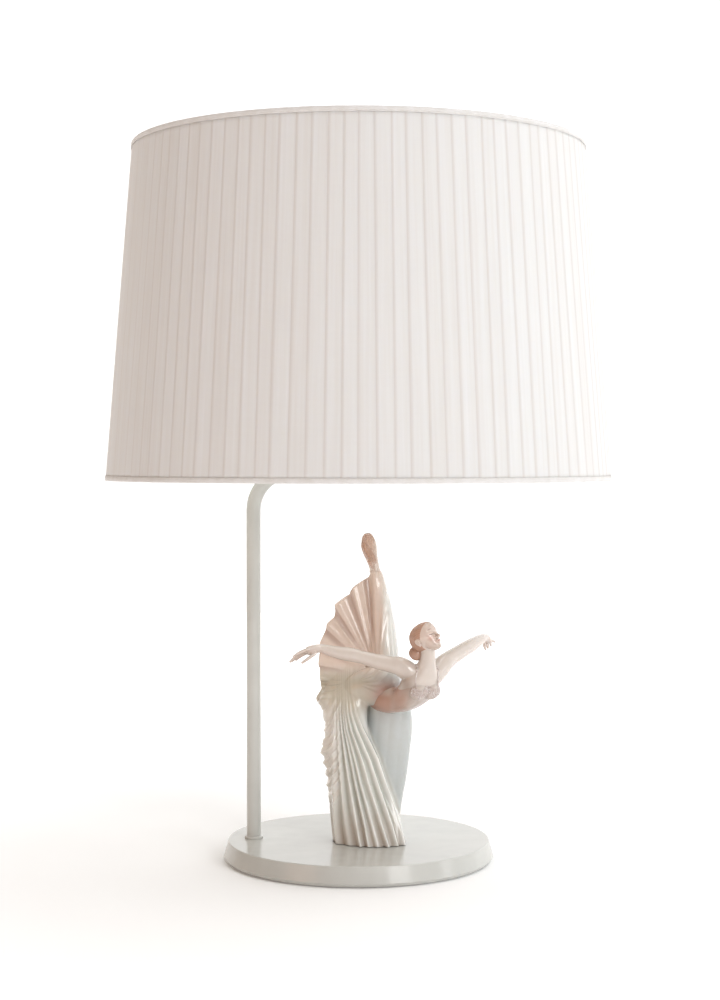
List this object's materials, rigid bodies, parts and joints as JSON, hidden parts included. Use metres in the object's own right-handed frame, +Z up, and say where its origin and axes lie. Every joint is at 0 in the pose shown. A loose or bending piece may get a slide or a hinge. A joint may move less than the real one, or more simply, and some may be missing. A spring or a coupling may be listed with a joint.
{
  "type": "table lamp",
  "caption": "Table lamp with a round lacquered base, an offset bent tube, a pleated drum shade and a glazed porcelain dancer standing under the shade.",
  "frame": {"origin": "centre of the base's underside, on the table, under the shade's axis", "axes": "+Z up, +X to the right seen from the front, -Y towards the viewer"},
  "size_m": [0.4499, 0.45, 0.6355],
  "materials": {
    "lacquer": "gloss off-white lacquer",
    "cover_paint": "satin black paint",
    "cast_ballast": "as cast, oiled",
    "zinc_steel": "bright zinc plate",
    "felt": "pressed grey felt",
    "bush_plastic": "moulded nylon",
    "terminal_plastic": "moulded polyamide",
    "brass": "drawn brass",
    "holder_plastic": "moulded white thermoset",
    "knob_plastic": "moulded white thermoset",
    "steatite": "unglazed steatite",
    "brown_insulation": "smooth PVC",
    "blue_insulation": "smooth PVC",
    "nickel_cap": "rolled thread, bright",
    "bulb_insulation": "black vitrite",
    "bulb_housing": "satin white",
    "bulb_plate": "white-masked circuit board",
    "opal": "opal diffuser",
    "ribbon_cloth": "off-white gathered ribbon cloth",
    "hem_cloth": "off-white folded bias tape",
    "liner_film": "white styrene sheet",
    "frame_paint": "white epoxy powder coat",
    "porcelain_skirt": "clear glaze over a beige and pink wash",
    "porcelain_bodice": "clear glaze over a peach wash",
    "porcelain_skin": "clear glaze over pale skin colour",
    "porcelain_shoe": "clear glaze over beige pink",
    "cork": "pressed cork"
  },
  "bodies": {
    "stand": {"base_shell": "lacquer", "post_collar": "lacquer", "post_tube": "lacquer", "bottom_cover": "cover_paint", "ballast_plate": "cast_ballast", "ballast_screws": "zinc_steel", "cover_screws": "zinc_steel", "post_stud": "zinc_steel", "post_washer": "zinc_steel", "post_nut": "zinc_steel", "dancer_bolt": "zinc_steel", "dancer_washer": "zinc_steel", "base_pad": "felt", "cord_bush": "bush_plastic", "terminal_block": "terminal_plastic", "switch_body": "terminal_plastic", "terminal_clamps": "brass", "holder_nipple": "brass", "holder_screw_shell": "brass", "holder_contact": "brass", "holder_contact_rivet": "brass", "dancer_insert": "brass", "holder_cap": "holder_plastic", "holder_shell": "holder_plastic", "holder_core": "steatite", "wire_live": "brown_insulation", "wire_neutral": "blue_insulation", "dancer_skirt": "porcelain_skirt", "dancer_torso": "porcelain_bodice", "dancer_head": "porcelain_skin", "dancer_right_arm": "porcelain_skin", "dancer_left_arm": "porcelain_skin", "dancer_foot": "porcelain_shoe", "dancer_pad": "cork"},
    "shade": {"shade_cover": "ribbon_cloth", "shade_liner": "liner_film", "shade_top_ring": "frame_paint", "shade_bottom_ring": "frame_paint", "shade_top_hem": "hem_cloth", "shade_bottom_hem": "hem_cloth", "shade_spokes": "frame_paint", "shade_centre_ring": "frame_paint"},
    "lower_ring": {"shade_ring_lower": "holder_plastic"},
    "upper_ring": {"shade_ring_upper": "holder_plastic"},
    "bulb": {"bulb_cap": "nickel_cap", "bulb_insulator": "bulb_insulation", "bulb_body": "bulb_housing", "bulb_board": "bulb_plate", "bulb_globe": "opal"},
    "switch_spindle": {"switch_shaft": "brass", "switch_knob": "knob_plastic"}
  },
  "joints": [
    {"name": "shade_turn", "type": "hinge", "parent": "stand", "child": "shade", "pos_m": [0, 0, 0.425], "axis": [0, 0, 1], "continuous": true},
    {"name": "upper_ring_turn", "type": "hinge", "parent": "stand", "child": "upper_ring", "pos_m": [0, 0, 0.43], "axis": [0, 0, 1], "continuous": true},
    {"name": "lower_ring_turn", "type": "hinge", "parent": "stand", "child": "lower_ring", "pos_m": [0, 0, 0.421], "axis": [0, 0, 1], "continuous": true},
    {"name": "bulb_turn", "type": "hinge", "parent": "stand", "child": "bulb", "pos_m": [0, 0, 0.43], "axis": [0, 0, 1], "continuous": true},
    {"name": "switch_turn", "type": "hinge", "parent": "stand", "child": "switch_spindle", "pos_m": [0, -0.02, 0.408], "axis": [0, -1, 0], "continuous": true}
  ]
}
